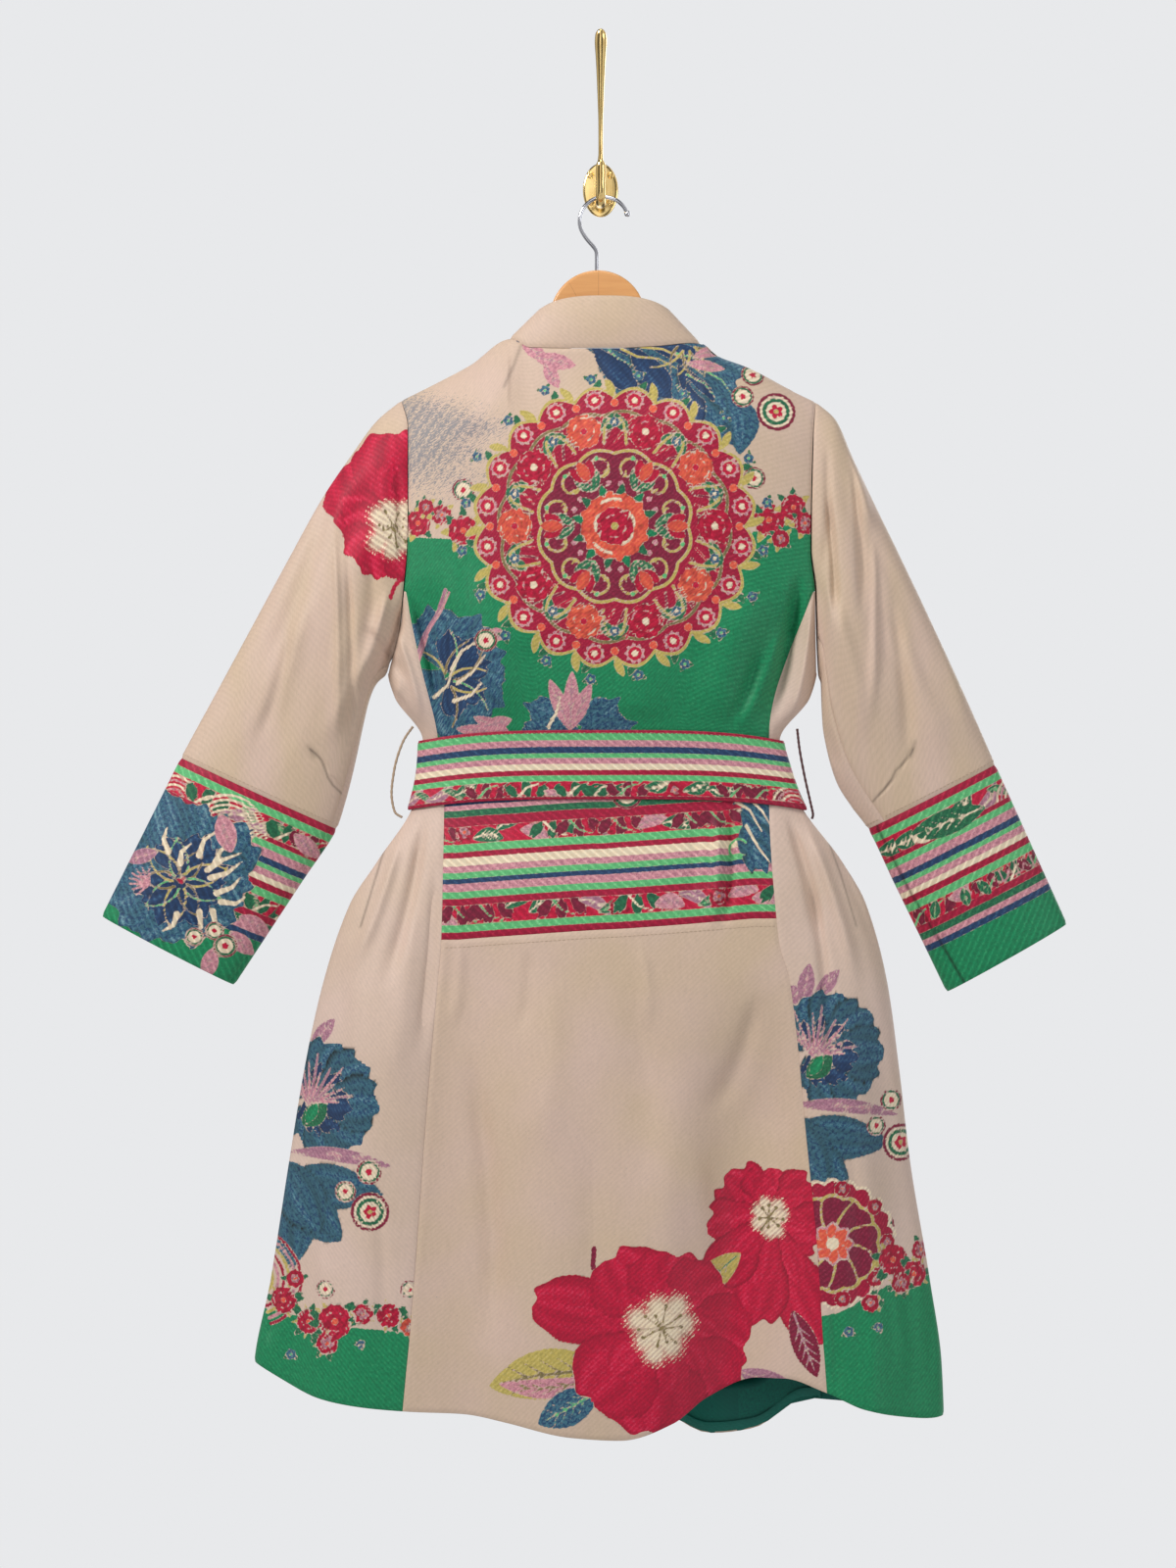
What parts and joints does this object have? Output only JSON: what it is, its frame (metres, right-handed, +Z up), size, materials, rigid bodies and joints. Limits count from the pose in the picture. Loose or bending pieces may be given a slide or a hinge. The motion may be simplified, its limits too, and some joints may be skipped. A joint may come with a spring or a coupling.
{
  "type": "belted coat on a wooden hanger and wall hook",
  "caption": "Belted knee-length coat of patterned jacquard, seen from the back on a wooden hanger that hangs from a brass wall hook.",
  "frame": {"origin": "middle of the back face of the wall hook's plate, on the wall", "axes": "+X to the right as the coat's back is seen, +Y into the wall, +Z up; the coat's back faces -Y"},
  "size_m": [0.8665, 0.1209, 1.2596],
  "materials": {
    "champagne_cloth": "twill jacquard with a soft sheen",
    "side_cloth": "twill jacquard, pinkish beige with woven flowers and a green hem",
    "back_cloth": "green twill jacquard with a woven medallion and flowers",
    "stripe_cloth": "woven stripes and flower bands in crimson, green, pink, navy and cream",
    "cuff_cloth": "woven stripes, flowers and green block",
    "facing_cloth": "teal satin",
    "loop_thread": "twisted thread",
    "hanger_wood": "honey varnish",
    "wire": "polished",
    "hook_brass": "polished"
  },
  "bodies": {
    "root": {"back_bodice": "back_cloth", "back_band": "stripe_cloth", "back_skirt": "champagne_cloth", "side_back_left": "side_cloth", "side_back_right": "side_cloth", "front_left": "champagne_cloth", "front_right": "champagne_cloth", "front_facing": "facing_cloth", "collar": "champagne_cloth", "sleeve_left_top": "champagne_cloth", "sleeve_left_under": "champagne_cloth", "sleeve_right_top": "champagne_cloth", "sleeve_right_under": "champagne_cloth", "cuff_left_top": "cuff_cloth", "cuff_left_under": "cuff_cloth", "cuff_right_top": "cuff_cloth", "cuff_right_under": "cuff_cloth", "belt": "stripe_cloth", "belt_loop_left": "loop_thread", "belt_loop_right": "loop_thread", "hanger_wood": "hanger_wood", "hanger_wire": "wire", "wall_hook": "hook_brass", "screw_upper_left": "hook_brass", "screw_upper_right": "hook_brass", "screw_lower_left": "hook_brass", "screw_lower_right": "hook_brass"}
  },
  "joints": []
}
